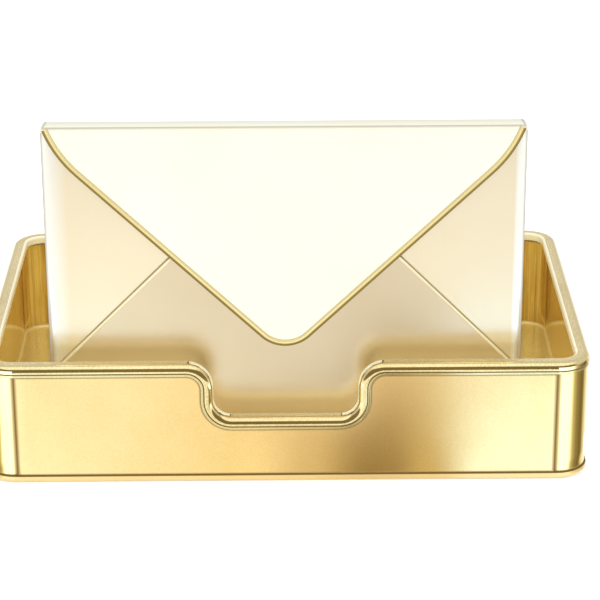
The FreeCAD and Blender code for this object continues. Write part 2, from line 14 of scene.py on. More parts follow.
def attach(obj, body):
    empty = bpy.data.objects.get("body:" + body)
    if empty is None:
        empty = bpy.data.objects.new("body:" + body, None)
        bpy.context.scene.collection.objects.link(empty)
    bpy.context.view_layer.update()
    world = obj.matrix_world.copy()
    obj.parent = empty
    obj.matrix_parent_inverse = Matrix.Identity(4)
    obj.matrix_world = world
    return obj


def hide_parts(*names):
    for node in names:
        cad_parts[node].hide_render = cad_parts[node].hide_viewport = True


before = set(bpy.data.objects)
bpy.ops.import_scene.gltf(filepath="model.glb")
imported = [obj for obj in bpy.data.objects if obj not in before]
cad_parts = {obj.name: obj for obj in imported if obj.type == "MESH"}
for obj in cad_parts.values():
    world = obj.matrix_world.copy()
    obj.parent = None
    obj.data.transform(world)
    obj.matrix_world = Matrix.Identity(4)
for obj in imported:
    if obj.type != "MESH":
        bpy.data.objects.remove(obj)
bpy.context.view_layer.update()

LOG = logging.getLogger("envelope_tray")
MM = 0.001
CLOUDS = 21.0  # slow patches of tint and gloss, per metre
MOTTLE = 0.32  # how far the mottle swings to either side of its middle
GRAIN_DEPTH = 0.00004  # metres
INWARDS = -0.05  # a face that turns this much to the tray's middle is lining
UPWARDS = 0.995  # a face that points this far up is a rail's cap

Colour = tuple[float, float, float]
Corner = tuple[float, ...]
Step = tuple[Vector, Vector]
Lift = Callable[[Vector, float], Vector]


# ---------------------------------------------------------------- finishes


class Lay(Enum):
    """The way that the fine grain of a metal runs."""

    BLASTED = (1.0, 1.0, 1.0)
    ACROSS = (0.06, 1.0, 1.0)
    UPRIGHT = (1.0, 1.0, 0.02)


class Graph:
    """A material's or the world's node tree, with short calls for its nodes."""

    def __init__(self, owner: bpy.types.Material | bpy.types.World) -> None:
        """Empties the owner's node tree.

        Args:
            owner: the material or world.
        """
        owner.use_nodes = True
        self.tree = owner.node_tree
        self.tree.nodes.clear()

    def node(self, kind: str, settings: dict | None = None, **inputs: object) -> bpy.types.Node:
        """Adds a node, sets its properties and fills or links its inputs.

        Args:
            kind: the node's type, without the ShaderNode prefix.
            settings: properties of the node.
            inputs: values or output sockets, by input name with underscores for spaces, or by
                an underscore and the input's number.

        Returns:
            The new node.
        """
        made = self.tree.nodes.new(f"ShaderNode{kind}")
        for key, value in (settings or {}).items():
            setattr(made, key, value)
        for key, value in inputs.items():
            socket = made.inputs[int(key[1:]) if key[0] == "_" else key.replace("_", " ")]
            if isinstance(value, bpy.types.NodeSocket):
                self.tree.links.new(value, socket)
            else:
                socket.default_value = value
        return made

    def sums(self, operation: str, *terms: object) -> bpy.types.NodeSocket:
        """Adds a math node whose inputs are values or sockets, and gives its output."""
        inputs = {f"_{i}": term for i, term in enumerate(terms)}
        return self.node("Math", {"operation": operation}, **inputs).outputs[0]

    def blend(self, factor: bpy.types.NodeSocket, low: object, high: object) -> bpy.types.NodeSocket:
        """Blends two colours or colour sockets, by how much of the second there is."""
        low, high = ((*c, 1.0) if isinstance(c, tuple) else c for c in (low, high))
        return self.node("Mix", {"data_type": "RGBA"}, Factor=factor, _6=low, _7=high).outputs[2]

    def span(self, value: bpy.types.NodeSocket, start: float, end: float, low: float,
             high: float) -> bpy.types.NodeSocket:
        """Maps a range of a value onto another range, without going past its ends."""
        return self.node("MapRange", Value=value, From_Min=start, From_Max=end, To_Min=low,
                         To_Max=high).outputs["Result"]


def once(name: str, fill: Callable[[Graph], bpy.types.Node]) -> bpy.types.Material:
    """Makes a finish's material the first time it is asked for.

    Args:
        name: the finish's name.
        fill: adds the finish's nodes and gives its shader.

    Returns:
        The material.
    """
    label = f"{name}_finish"
    known = bpy.data.materials.get(label)
    if known is not None:
        return known
    made = bpy.data.materials.new(label)
    graph = Graph(made)
    graph.node("OutputMaterial", Surface=fill(graph).outputs["BSDF"])
    return made


@dataclass(frozen=True)
class MetalFinish:
    """A metal surface: its two close tints, its gloss and its grain.

    The light and shade painted on a piece is 1 where a highlight is painted and -1 where shade
    is painted, which is made matte too. A finish with no painted shade colour is for pieces that have none.
    """

    name: str
    slot: str
    light: Colour
    deep: Colour
    gloss: tuple[float, float]
    # the colour that painted highlights blend towards
    painted_lighting: Colour = (1.0, 0.93, 0.72)
    # the colour of painted shade, where a finish has any
    painted_shade: Colour | None = None
    lay: Lay = Lay.BLASTED
    grain: float = 1500.0
    relief: float = 0.04
    speck: float = 0.55
    metal: float = 1.0

    def material(self) -> bpy.types.Material:
        """Gives the finish's material."""
        return once(self.name, self.fill)

    def fill(self, graph: Graph) -> bpy.types.Node:
        """Adds the finish's nodes.

        Args:
            graph: the material's nodes.

        Returns:
            The shader.
        """
        place = graph.node("TexCoord").outputs["Object"]
        along = graph.node("Mapping", Vector=place, Scale=self.lay.value).outputs["Vector"]
        fine = graph.node("TexNoise", Vector=along, Scale=self.grain, Detail=3.0, Roughness=0.65)
        cloud = graph.node("TexNoise", Vector=place, Scale=CLOUDS, Detail=4.0, Roughness=0.55)
        mottle = graph.sums("MULTIPLY_ADD", fine.outputs["Fac"], self.speck, cloud.outputs["Fac"])
        low, high = (0.5 + self.speck / 2 + reach for reach in (-MOTTLE, MOTTLE))
        tint = graph.blend(graph.span(mottle, low, high, 0.0, 1.0), self.deep, self.light)
        # painted light and shade: 1 blends the tint towards the highlight colour, -1 blends it to the shade
        # colour and makes it matte
        light_and_shade = graph.node("Attribute", {"attribute_name": "light_and_shade"}).outputs["Fac"]
        tint = graph.blend(graph.span(light_and_shade, 0.0, 1.0, 0.0, 0.7), tint, self.painted_lighting)
        shade_inputs: dict[str, object] = {"Metallic": self.metal}
        if self.painted_shade is not None:
            tint = graph.blend(graph.span(light_and_shade, 0.0, -1.0, 0.0, 1.0), tint, self.painted_shade)
            shade_inputs["Metallic"] = graph.span(light_and_shade, 0.0, -1.0, self.metal, 0.0)
            shade_inputs["Specular_IOR_Level"] = graph.span(light_and_shade, 0.0, -1.0, 0.5, 0.05)
        gloss = graph.span(mottle, low, high, self.gloss[1], self.gloss[0])
        bump = graph.node("Bump", Height=fine.outputs["Fac"], Strength=self.relief,
                          Distance=GRAIN_DEPTH)
        return graph.node("BsdfPrincipled", Base_Color=tint, Roughness=gloss,
                          Normal=bump.outputs["Normal"], **shade_inputs)


@dataclass(frozen=True)
class SoftFinish:
    """A rubber surface, matte and faintly mottled."""

    name: str
    slot: str
    light: Colour
    deep: Colour

    def material(self) -> bpy.types.Material:
        """Gives the finish's material."""
        return once(self.name, self.fill)

    def fill(self, graph: Graph) -> bpy.types.Node:
        """Adds the finish's nodes.

        Args:
            graph: the material's nodes.

        Returns:
            The shader.
        """
        place = graph.node("TexCoord").outputs["Object"]
        speck = graph.node("TexNoise", Vector=place, Scale=900.0, Detail=2.0).outputs["Fac"]
        bump = graph.node("Bump", Height=speck, Strength=0.3, Distance=0.0001)
        return graph.node("BsdfPrincipled", Base_Color=graph.blend(speck, self.deep, self.light),
                          Roughness=graph.span(speck, 0.0, 1.0, 0.7, 0.9),
                          Normal=bump.outputs["Normal"])


SATIN_GOLD = MetalFinish("satin_gold", "satin_gold", (1.0, 0.71, 0.34), (0.90, 0.62, 0.25), (0.28, 0.36),
                         painted_shade=(0.20, 0.115, 0.022), relief=0.12, speck=1.4, metal=0.9)
BRIGHT_GOLD = MetalFinish("bright_gold", "satin_gold", (1.0, 0.80, 0.36), (0.94, 0.73, 0.30), (0.08, 0.13),
                          painted_shade=(0.20, 0.115, 0.022))
CRADLE_GOLD = replace(BRIGHT_GOLD, name="cradle_gold", painted_shade=None)
# a paler, almost matte copy of the gold for faces that look inwards, standing in for light in the gap behind
# the front wall
LIT_LINING_GOLD = MetalFinish("lit_lining_gold", "satin_gold", (1.0, 0.96, 0.68), (0.95, 0.88, 0.58), (0.28, 0.34),
                          painted_shade=(0.30, 0.20, 0.06), relief=0.1, metal=0.1)
# a darker, deeper copy of the gold for the strip's inner faces, standing in for the shade inside the tray
SHADED_INNER_GOLD = MetalFinish("shaded_inner_gold", "satin_gold", (0.96, 0.73, 0.27), (0.64, 0.46, 0.13), (0.10, 0.18),
                        painted_shade=(0.30, 0.20, 0.06), lay=Lay.UPRIGHT, grain=1300.0, speck=2.0, metal=0.85)
BASE_GOLD = MetalFinish("base_gold", "satin_gold", (0.92, 0.68, 0.30), (0.86, 0.61, 0.25), (0.28, 0.32),
                        painted_shade=(0.17, 0.11, 0.03), metal=0.2)
FLOOR_GOLD = MetalFinish("floor_gold", "satin_gold", (1.0, 0.80, 0.30), (0.84, 0.62, 0.20), (0.12, 0.20),
                         painted_lighting=(1.0, 0.86, 0.45), relief=0.1, grain=1000.0, speck=1.8, metal=0.4)
POLISHED_GOLD = MetalFinish("polished_gold", "polished_gold", (1.0, 0.86, 0.48), (0.80, 0.63, 0.29),
                            (0.06, 0.11), painted_shade=(0.20, 0.135, 0.045), relief=0.05, speck=2.2)
# a duller, greyer, almost matte copy of the rail's gold for its top faces, which paints in the tone that they
# reflect
REFLECTION_CAP_GOLD = MetalFinish("reflection_cap_gold", "polished_gold", (0.80, 0.66, 0.36), (0.52, 0.41, 0.19), (0.20, 0.27),
                       painted_shade=(0.30, 0.20, 0.06), relief=0.1, speck=2.6, metal=0.15)
HEM_GOLD = MetalFinish("hem_gold", "polished_gold", (1.0, 0.88, 0.46), (0.97, 0.81, 0.37), (0.14, 0.20),
                       painted_shade=(0.27, 0.19, 0.05), relief=0.05, metal=0.4)
PALE_GOLD = MetalFinish("pale_gold", "pale_gold", (1.0, 0.90, 0.66), (0.97, 0.84, 0.56), (0.28, 0.31),
                        painted_shade=(0.38, 0.31, 0.12), relief=0.05, metal=0.5)
CHAMPAGNE = MetalFinish("champagne", "champagne", (0.93, 0.83, 0.61), (0.90, 0.79, 0.57), (0.28, 0.31),
                        painted_lighting=(1.0, 1.0, 0.96), speck=0.2, metal=0.9)
# a darker copy of the champagne for the lower flap, standing in for the shade that it lies in
SHADED_CHAMPAGNE = MetalFinish("shaded_champagne", "champagne", (0.80, 0.68, 0.48), (0.76, 0.64, 0.44),
                             (0.28, 0.31), painted_lighting=(1.0, 0.98, 0.86), speck=0.3)
PEARL = MetalFinish("pearl", "champagne", (1.0, 0.99, 0.90), (0.98, 0.95, 0.84), (0.28, 0.31),
                    painted_shade=(0.36, 0.35, 0.28), speck=0.2, metal=0.85)
IVORY = MetalFinish("ivory_champagne", "ivory_champagne", (1.0, 0.985, 0.84), (0.99, 0.955, 0.79), (0.30, 0.38),
                    painted_shade=(0.34, 0.33, 0.25), speck=0.2, metal=0.35)
HINGE_BRASS = MetalFinish("hinge_brass", "hinge_brass", (0.88, 0.66, 0.30), (0.80, 0.58, 0.24), (0.2, 0.27),
                          lay=Lay.ACROSS)
SCREW_STEEL = MetalFinish("screw_steel", "screw_steel", (0.60, 0.60, 0.61), (0.50, 0.50, 0.52), (0.28, 0.4),
                          painted_lighting=(0.8, 0.8, 0.8))
RUBBER = SoftFinish("foot_rubber", "rubber", (0.035, 0.035, 0.036), (0.018, 0.018, 0.019))
Finish = MetalFinish | SoftFinish


# ---------------------------------------------------------------- outlines and meshes


def left_of(along: Vector) -> Vector:
    """Turns a flat direction a quarter to the left."""
    return Vector((-along.y, along.x))


def trace(corners: Sequence[Corner], closed: bool = True, turn: float = 6.0) -> list[Step]:
    """Follows a path of straight runs and round corners.

    Args:
        corners: (across, up) or (across, up, radius) for each corner.
        closed: whether the last corner joins the first.
        turn: the most that one step of a round corner turns, in degrees.

    Returns:
        Points of the path, each with its left-hand normal, lengthened at a sharp corner so that
        an offset along it keeps its distance from both runs.
    """
    places = [Vector(corner[:2]) for corner in corners]
    steps: list[Step] = []
    for i, here in enumerate(places):
        after = places[(i + 1) % len(places)]
        arriving, leaving = (here - places[i - 1]).normalized(), (after - here).normalized()
        if not closed and i == 0:
            arriving = leaving
        if not closed and i == len(places) - 1:
            leaving = arriving
        bend = math.atan2(arriving.cross(leaving), arriving.dot(leaving))
        if len(corners[i]) == 2 or abs(bend) < 1e-6:
            middle = left_of((arriving + leaving).normalized())
            steps.append((here, middle / math.cos(bend / 2)))
            continue
        radius = math.copysign(corners[i][2], bend)
        start = here - arriving * radius * math.tan(bend / 2)
        centre = start + left_of(arriving) * radius
        count = max(2, math.ceil(abs(math.degrees(bend)) / turn))
        for k in range(count + 1):
            normal = Matrix.Rotation(bend * k / count, 2) @ left_of(arriving)
            steps.append((centre - normal * radius, normal))
    return steps


def flipped(corners: Sequence[Corner]) -> list[Corner]:
    """Gives the same corners on the other side of the middle line, in reverse order."""
    return [(-c[0], *c[1:]) for c in reversed(corners)]


def mirrored(corners: Sequence[Corner]) -> list[Corner]:
    """Follows the corners of a right-hand half outline by the same corners on the left."""
    return list(corners) + flipped([c for c in corners if c[0] != 0.0])


def open_path(corners: Sequence[Corner]) -> list[Corner]:
    """Doubles a right-hand half path that starts on the middle line, from its left end to its right."""
    return flipped(corners[1:]) + list(corners)


def quarter_turn(count: int) -> list[float]:
    """Divides a quarter turn into steps."""
    return [math.pi / 2 * k / count for k in range(count + 1)]


def edge_profile(low: float, high: float, low_round: float, high_round: float,
                 count: int = 4) -> list[tuple[float, float, float]]:
    """Rounds the two edges of a plate.

    Args:
        low: the level of its first face.
        high: the level of its second face.
        low_round: the radius of its first edge.
        high_round: the radius of its second edge.
        count: the steps of each rounding.

    Returns:
        The inset, level and painted light of each ring from the first face to the second, with a
        painted highlight half way round each rounding.
    """
    quarter = quarter_turn(count)
    rings = [(low_round * (1 - math.sin(a)), low + low_round * (1 - math.cos(a)), math.sin(2 * a))
             for a in quarter]
    return rings + [(high_round * (1 - math.cos(a)), high - high_round * (1 - math.sin(a)),
                     math.sin(2 * a)) for a in quarter]


def standing(flat: Vector, depth: float) -> Vector:
    """Stands a flat outline up, facing the front."""
    return Vector((flat.x, depth, flat.y))


def level(flat: Vector, height: float) -> Vector:
    """Lays a flat outline level."""
    return Vector((flat.x, flat.y, height))


@dataclass
class Blank:
    """The points and faces of one piece, in millimetres, before it becomes an object."""

    points: list[Vector] = field(default_factory=list)
    light_and_shade: list[float] = field(default_factory=list)
    faces: list[tuple[int, ...]] = field(default_factory=list)

    def ring(self, places: Sequence[Vector], light_and_shade: Sequence[float] | float = 0.0) -> list[int]:
        """Adds points.

        Args:
            places: the points.
            light_and_shade: their painted light and shade, one number for all or one for each.

        Returns:
            Their numbers.
        """
        first = len(self.points)
        self.points.extend(places)
        self.light_and_shade.extend([light_and_shade] * len(places) if isinstance(light_and_shade, float) else light_and_shade)
        return list(range(first, len(self.points)))

    def skin(self, rings: Sequence[Sequence[int]], closed: bool = True, caps: bool = True) -> None:
        """Joins rings of points by faces.

        Args:
            rings: the rings, with as many points each.
            closed: whether each ring joins its own start.
            caps: whether the first and last ring are filled.
        """
        count = len(rings[0])
        for low, high in zip(rings, rings[1:]):
            for i in range(count if closed else count - 1):
                j = (i + 1) % count
                self.faces.append((low[i], low[j], high[j], high[i]))
        if caps:
            self.faces.append(tuple(rings[0]))
            self.faces.append(tuple(rings[-1]))

    def plate(self, outline: Sequence[Corner], profile: Sequence[tuple[float, float, float]],
              lift: Lift, turn: float = 6.0) -> None:
        """Adds a plate with rounded edges.

        Args:
            outline: its corners.
            profile: the inset, level and painted light and shade of its rings.
            lift: puts a flat point at a level into space.
            turn: the most that one step of a round corner turns, in degrees.
        """
        steps = trace(outline, turn=turn)
        area = sum(p.cross(q) for (p, _), (q, _) in zip(steps, steps[1:] + steps[:1]))
        inwards = math.copysign(1.0, area)
        self.skin([self.ring([lift(p + n * inwards * inset, height) for p, n in steps], light_and_shade)
                   for inset, height, light_and_shade in profile])

    def sweep(self, section: Sequence[tuple[float, float]], light_and_shade: Sequence[float], steps: Sequence[Step],
              lift: Callable[[Step, float, float], Vector]) -> None:
        """Draws a closed section, with the painted light and shade of each point, along the steps of a path."""
        self.skin([self.ring([lift(step, u, v) for u, v in section], light_and_shade) for step in steps])

    def turned(self, profile: Sequence[Corner], centre: Vector, count: int = 48) -> None:
        """Adds a body turned about an upright axis.

        Args:
            profile: (radius, height) or (radius, height, rounding) for each corner, from the axis
                at the bottom to the axis at the top.
            centre: where the axis meets Z = 0.
            count: the steps of a whole turn.
        """
        outline = [p for p, _ in trace(profile, closed=False, turn=15.0)][1:-1]
        angles = [math.tau * k / count for k in range(count)]
        self.skin([self.ring([centre + Vector((p.x * math.cos(a), p.x * math.sin(a), p.y))
                              for a in angles])
                   for p in outline])

    def make(self, name: str, finish: Finish, body: str, *nodes: str, sharp: float = 32.0,
             lining: Finish | None = None, cap: Finish | None = None) -> bpy.types.Object:
        """Turns the blank into a finished piece of the scene.

        Args:
            name: the piece's name.
            finish: its finish.
            body: the body that it rides on.
            nodes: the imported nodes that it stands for.
            sharp: the angle above which an edge stays crisp, in degrees.
            lining: the finish of the faces that look to the tray's middle, where it differs.
            cap: the finish of the faces that look straight up, where it differs.

        Returns:
            The piece.
        """
        mesh = bpy.data.meshes.new(name)
        mesh.from_pydata([tuple(p * MM) for p in self.points], [], self.faces)
        # the painted highlights and painted shade that the finishes read
        mesh.attributes.new("light_and_shade", "FLOAT", "POINT").data.foreach_set("value", self.light_and_shade)
        piece = settle(name, mesh, finish, body, *nodes, sharp=sharp)
        for other in filter(None, (lining, cap)):
            mesh.materials.append(other.material())
            for face in mesh.polygons:
                inwards = face.normal.xy.dot(face.center.xy.normalized()) < INWARDS
                if inwards if other is lining else face.normal.z > UPWARDS:
                    face.material_index = len(mesh.materials) - 1
        return piece


def settle(name: str, mesh: bpy.types.Mesh, finish: Finish, body: str, *nodes: str,
           sharp: float) -> bpy.types.Object:
    """Cleans a mesh, dresses it and puts it on its body.

    Args:
        name: the piece's name.
        mesh: its mesh.
        finish: its finish.
        body: the body that it rides on.
        nodes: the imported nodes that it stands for.
        sharp: the angle above which an edge stays crisp, in degrees.

    Returns:
        The piece.
    """
    work = bmesh.new()
    work.from_mesh(mesh)
    bmesh.ops.remove_doubles(work, verts=work.verts, dist=1e-6)
    bmesh.ops.recalc_face_normals(work, faces=work.faces)
    loose = sum(not edge.is_manifold for edge in work.edges)
    work.to_mesh(mesh)
    work.free()
    mesh.shade_smooth()
    mesh.set_sharp_from_angle(angle=math.radians(sharp))
    mesh.materials.append(finish.material())
    piece = bpy.data.objects.new(name, mesh)
    bpy.context.scene.collection.objects.link(piece)
    weights = piece.modifiers.new("flat_faces", "WEIGHTED_NORMAL")
    weights.keep_sharp = True
    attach(piece, body)
    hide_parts(*nodes)
    LOG.info("%s: %d faces, %d open edges", name, len(mesh.polygons), loose)
    return piece


@dataclass(frozen=True)
class FoldShade:
    """A line of painted shade along a rounded edge across a copied node, which fades out on both sides."""

    depth: float
    height: float
    reach: float = 0.8
    strength: float = 1.0

    def draw(self, work: bmesh.types.BMesh, light_and_shade: bmesh.types.BMLayerItem) -> None:
        """Paints shade into the points along the edge."""
        for corner in work.verts:
            off = math.hypot(corner.co.y / MM - self.depth, corner.co.z / MM - self.height)
            if off < self.reach:
                corner[light_and_shade] = -self.strength * (1.0 - off / self.reach)


def eased(node: str, finish: Finish, body: str, ease: float = 0.12,
          brow: tuple[float, float] | None = None,
          fold_shades: Sequence[FoldShade] = ()) -> bpy.types.Object:
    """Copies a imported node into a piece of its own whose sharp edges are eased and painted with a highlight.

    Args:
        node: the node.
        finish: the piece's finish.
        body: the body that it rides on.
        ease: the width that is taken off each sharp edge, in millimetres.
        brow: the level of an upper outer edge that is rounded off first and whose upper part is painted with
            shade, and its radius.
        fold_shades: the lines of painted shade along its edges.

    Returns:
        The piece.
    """
    work = bmesh.new()
    work.from_mesh(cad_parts[node].data)
    bmesh.ops.remove_doubles(work, verts=work.verts, dist=1e-6)
    bmesh.ops.dissolve_limit(work, angle_limit=math.radians(0.2), verts=work.verts, edges=work.edges)
    painted_lighting = work.verts.layers.float.new("light_and_shade")
    crisp = [edge for edge in work.edges
             if edge.is_manifold and edge.calc_face_angle() > math.radians(40.0)]
    bevel = {"offset_type": "OFFSET", "profile": 0.5, "affect": "EDGES", "clamp_overlap": True}
    if brow is not None:
        upper = [edge for edge in crisp if min(v.co.z for v in edge.verts) > (brow[0] - 0.01) * MM]
        crisp = [edge for edge in crisp if edge not in upper]
        bmesh.ops.bevel(work, geom=upper, offset=brow[1] * MM, segments=5, **bevel)
    made = bmesh.ops.bevel(work, geom=crisp, offset=ease * MM, segments=2, **bevel)
    strips = set(made["faces"])
    # the eased edges are painted with a highlight
    for corner in made["verts"]:
        if all(face in strips for face in corner.link_faces):
            corner[painted_lighting] = 1.0
    # the upper part of the brow is painted with shade
    for corner in work.verts:
        if brow is not None and corner.co.z > (brow[0] - brow[1] * 0.4) * MM:
            corner[painted_lighting] = -1.0
    for fold_shade in fold_shades:
        fold_shade.draw(work, painted_lighting)
    name = f"{node}_eased"
    mesh = bpy.data.meshes.new(name)
    work.to_mesh(mesh)
    work.free()
    return settle(name, mesh, finish, body, node, sharp=40.0)


# ---------------------------------------------------------------- tray


@dataclass
class TrayShell:
    """The base, the floor, the front wall with its finger notch and the strip round the other sides."""

    half_width: float = 146.7
    half_depth: float = 92.2
    corner: float = 15.2
    sheet: float = 3.0
    seam: float = 130.5
    seam_ease: float = 0.15
    wall_ease: float = 0.04
    # reach of the painted shade in from the front panel's seams, and in from its other edges and the strip's
    # foot; then the reach and depth of the painted shade on the strip beside the seams
    seam_fade: float = 1.7
    foot_fade: float = 0.9
    wrap_fade: float = 1.9
    wrap_dark: float = 1.15
    foot: float = 3.8
    base_round: float = 1.1
    top: float = 55.6
    floor_top: float = 6.8
    cove: float = 1.6
    # strength of the painted highlight along the floor's cove
    cove_highlight: float = 0.6
    sill: float = 27.6
    notch_half: float = 40.9
    notch_shoulder: float = 7.1
    notch_foot: float = 14.9

    def build(self) -> None:
        """Makes and dresses the pieces."""
        # the upper part of the base's rounded top edge is painted with shade, as the dark line under the wall
        eased("base_plate", BASE_GOLD, "tray", brow=(self.foot, self.base_round))
        self.make_floor()
        self.make_front_wall()
        self.make_wrap()

    def inner_sizes(self) -> tuple[float, ...]:
        """Gives half the width and depth inside the walls, and the corners' radius there."""
        return tuple(v - self.sheet for v in (self.half_width, self.half_depth, self.corner))

    def make_floor(self) -> None:
        """Lays the floor, with a small cove that rises to the walls and a painted highlight along its middle.
        """
        half_x, half_y, corner = self.inner_sizes()
        # a painted highlight peaks along the middle of the cove
        cove = [(self.cove * (1 - math.cos(a)), self.floor_top + self.cove * (1 - math.sin(a)),
                 self.cove_highlight * math.sin(2 * a) ** 2) for a in quarter_turn(5)]
        profile = [(0.3, self.foot, 0.0), (0.0, self.foot + 0.3, 0.0), *cove]
        blank = Blank()
        blank.plate(mirrored([(half_x, half_y, corner), (half_x, -half_y, corner)]), profile, level)
        blank.make("floor_with_cove", FLOOR_GOLD, "tray", "floor_plate")

    def make_front_wall(self) -> None:
        """Cuts the flat front with its notch, with painted shade that fades in towards its front edges, widest
        beside the seams.
        """
        beside = self.seam - self.wall_ease - self.seam_fade
        outline = mirrored([
            (beside, self.foot),
            (self.seam, self.foot),
            (self.seam, self.top),
            (beside, self.top),
            (self.notch_half, self.top, self.notch_shoulder),
            (self.notch_half, self.sill, self.notch_foot),
        ])
        front = -self.half_depth
        rings = edge_profile(front, front + self.sheet, self.wall_ease, self.wall_ease)
        # the rounding of the front edges is painted with shade
        shaded_rings = [(inset, depth, -1.0) for inset, depth, _ in rings[:len(rings) // 2]]
        fades = [(self.wall_ease + fade, front, 0.0) for fade in (self.seam_fade, self.foot_fade)]
        blank = Blank()
        blank.plate(outline, [*fades, *shaded_rings, *rings[len(rings) // 2:]], standing)
        # beside the seams the painted shade fades out over a wider band
        for i, place in enumerate(blank.points[:len(blank.points) // 2]):
            if abs(place.x) > self.seam - self.wall_ease - self.foot_fade - 0.1 and blank.light_and_shade[i] == 0.0:
                blank.light_and_shade[i] = self.foot_fade / self.seam_fade - 1.0
        blank.make("front_panel", SATIN_GOLD, "tray", "front_wall", lining=LIT_LINING_GOLD)

    def make_wrap(self) -> None:
        """Bends the strip round the sides and the back; its foot and its parts beside the seams are painted
        with shade, its top edge with a highlight.
        """
        half_x, half_y, corner = self.inner_sizes()
        outside = [
            (self.seam, -self.half_depth),
            (self.half_width, -self.half_depth, self.corner),
            (self.half_width, self.half_depth, self.corner),
        ]
        inside = [(half_x, half_y, corner), (half_x, -half_y, corner), (self.seam, -half_y)]
        blank = Blank()
        rings = edge_profile(self.foot, self.top, self.seam_ease, self.seam_ease)
        half = len(rings) // 2
        above = (0.0, self.foot + self.seam_ease + self.foot_fade, 0.0)
        # the rounding at the foot is painted with shade, which fades out by the ring above it
        shaded_rings = [(inset, height, -1.0) for inset, height, _ in rings[:half]]
        blank.plate(outside + flipped(outside) + flipped(inside) + inside,
                    [*shaded_rings, above, *rings[half:]], level, turn=3.0)
        # the front of the strip is painted with shade beside the seam, fading towards the corner
        for i, place in enumerate(blank.points):
            if place.y < self.corner - self.half_depth and place.y < -abs(place.x) + self.half_width:
                fade = self.wrap_dark - (abs(place.x) - self.seam) / self.wrap_fade
                blank.light_and_shade[i] = min(blank.light_and_shade[i], -max(0.0, min(1.0, fade)))
        blank.make("side_strip", BRIGHT_GOLD, "tray", "wall_wrap", lining=SHADED_INNER_GOLD)


@dataclass
class Rails:
    """The rail that caps the walls: one length over the notched front, one round the rest."""

    half_width: float = 147.5
    half_depth: float = 93.0
    corner: float = 16.0
    seam: float = 130.5
    top: float = 61.5
    width: float = 7.4
    bead_foot: float = 57.4
    lip_top: float = 57.0
    lip_foot: float = 55.6
    neck: float = 0.65
    collar: float = 4.6
    outer_edge: float = 3.6
    inner_edge: float = 1.4
    under_edge: float = 0.5
    lip_edge: float = 0.3
    groove_edge: float = 0.15
    # how dark the painted shade is under the lip and on the lip's face
    lip_shade: float = -0.6
    face_shade: float = -0.25
    notch_half: float = 35.0
    notch_drop: float = 28.0
    notch_shoulder: float = 13.0
    notch_foot: float = 9.0

    def section(self) -> tuple[list[tuple[float, float]], list[float]]:
        """Draws the rail's section.

        Returns:
            Its points, as the depth behind the front and the height above the rail's top, and the
            painted light and shade of each.
        """
        lip = self.neck / 2
        corners = [
            (0.0, self.top, self.outer_edge),
            (0.0, self.bead_foot, self.under_edge),
            (self.neck, self.bead_foot, self.groove_edge),
            (self.neck, self.lip_top, self.groove_edge),
            (lip, self.lip_top, self.lip_edge),
            (lip, self.lip_foot, self.lip_edge),
            (self.collar, self.lip_foot),
            (self.collar, self.bead_foot),
            (self.width, self.bead_foot, self.under_edge),
            (self.width, self.top, self.inner_edge),
        ]
        steps = trace(corners, turn=7.0)
        points = [(p.x, p.y - self.top) for p, _ in steps]
        return points, [self.light_and_shade_at(p, n) for p, n in steps]

    def light_and_shade_at(self, place: Vector, normal: Vector) -> float:
        """Tells where a highlight is painted on the rail's inner edge and where shade is painted below the
        bead.

        Args:
            place: a point of the section.
            normal: its normal.

        Returns:
            The painted light and shade there.
        """
        tilt = math.degrees(math.atan2(abs(normal.y), abs(normal.x)))
        if place.y < self.lip_foot + 0.05:
            return self.lip_shade
        if place.y < self.bead_foot + 0.1:
            return -1.0 if place.x > self.neck / 2 + 0.1 else self.face_shade
        if place.x > self.width - self.inner_edge:
            return math.sin(math.radians(2 * tilt))
        return 0.0

    def build(self) -> None:
        """Makes and dresses both rails."""
        points, light_and_shade = self.section()
        notch = [
            (0.0, self.top - self.notch_drop),
            (self.notch_half, self.top - self.notch_drop, self.notch_foot),
            (self.notch_half, self.top, self.notch_shoulder),
            (self.seam, self.top),
        ]
        front = Blank()
        front.sweep(points, light_and_shade, trace(open_path(notch), closed=False, turn=4.0),
                    lambda step, u, v: standing(step[0] + step[1] * v, u - self.half_depth))
        front.make("front_rail", POLISHED_GOLD, "tray", "front_rim", lining=LIT_LINING_GOLD,
                   cap=REFLECTION_CAP_GOLD)
        right = [
            (self.seam, -self.half_depth),
            (self.half_width, -self.half_depth, self.corner),
            (self.half_width, self.half_depth, self.corner),
        ]
        wrap = Blank()
        wrap.sweep(points, light_and_shade, trace(right + flipped(right), closed=False, turn=3.0),
                   lambda step, u, v: level(step[0] + step[1] * u, self.top + v))
        wrap.make("wrap_rail", POLISHED_GOLD, "tray", "rim_wrap", lining=LIT_LINING_GOLD, cap=REFLECTION_CAP_GOLD)


@dataclass
class Undercarriage:
    """The rubber feet and the screws that hold the floor and the cradle."""

    radius: float = 7.0
    height: float = 2.8
    edge: float = 0.8
    dish: float = 0.4
    across: float = 124.7
    along: float = 72.2

    def build(self) -> None:
        """Makes and dresses the pieces."""
        places = {
            "foot_front_left": (-1, -1),
            "foot_front_right": (1, -1),
            "foot_rear_left": (-1, 1),
            "foot_rear_right": (1, 1),
        }
        for node, (side, end) in places.items():
            foot = Blank()
            foot.turned([
                (0.0, self.dish),
                (0.001, self.dish),
                (self.radius * 0.45, self.dish, 0.5),
                (self.radius * 0.6, 0.0, 0.5),
                (self.radius, 0.0, self.edge),
                (self.radius, self.height),
                (0.001, self.height),
                (0.0, self.height),
            ], Vector((self.across * side, self.along * end, 0.0)))
            foot.make(f"{node}_pad", RUBBER, "tray", node)
        for node in ("base_screws", "cradle_screws"):
            eased(node, SCREW_STEEL, "tray", ease=0.06)


@dataclass
class Cradle:
    """The slotted bar that holds the envelope upright."""

    ease: float = 0.2

    def build(self) -> None:
        """Makes and dresses the bar."""
        eased("envelope_cradle", CRADLE_GOLD, "tray", ease=self.ease)


# ---------------------------------------------------------------- envelope


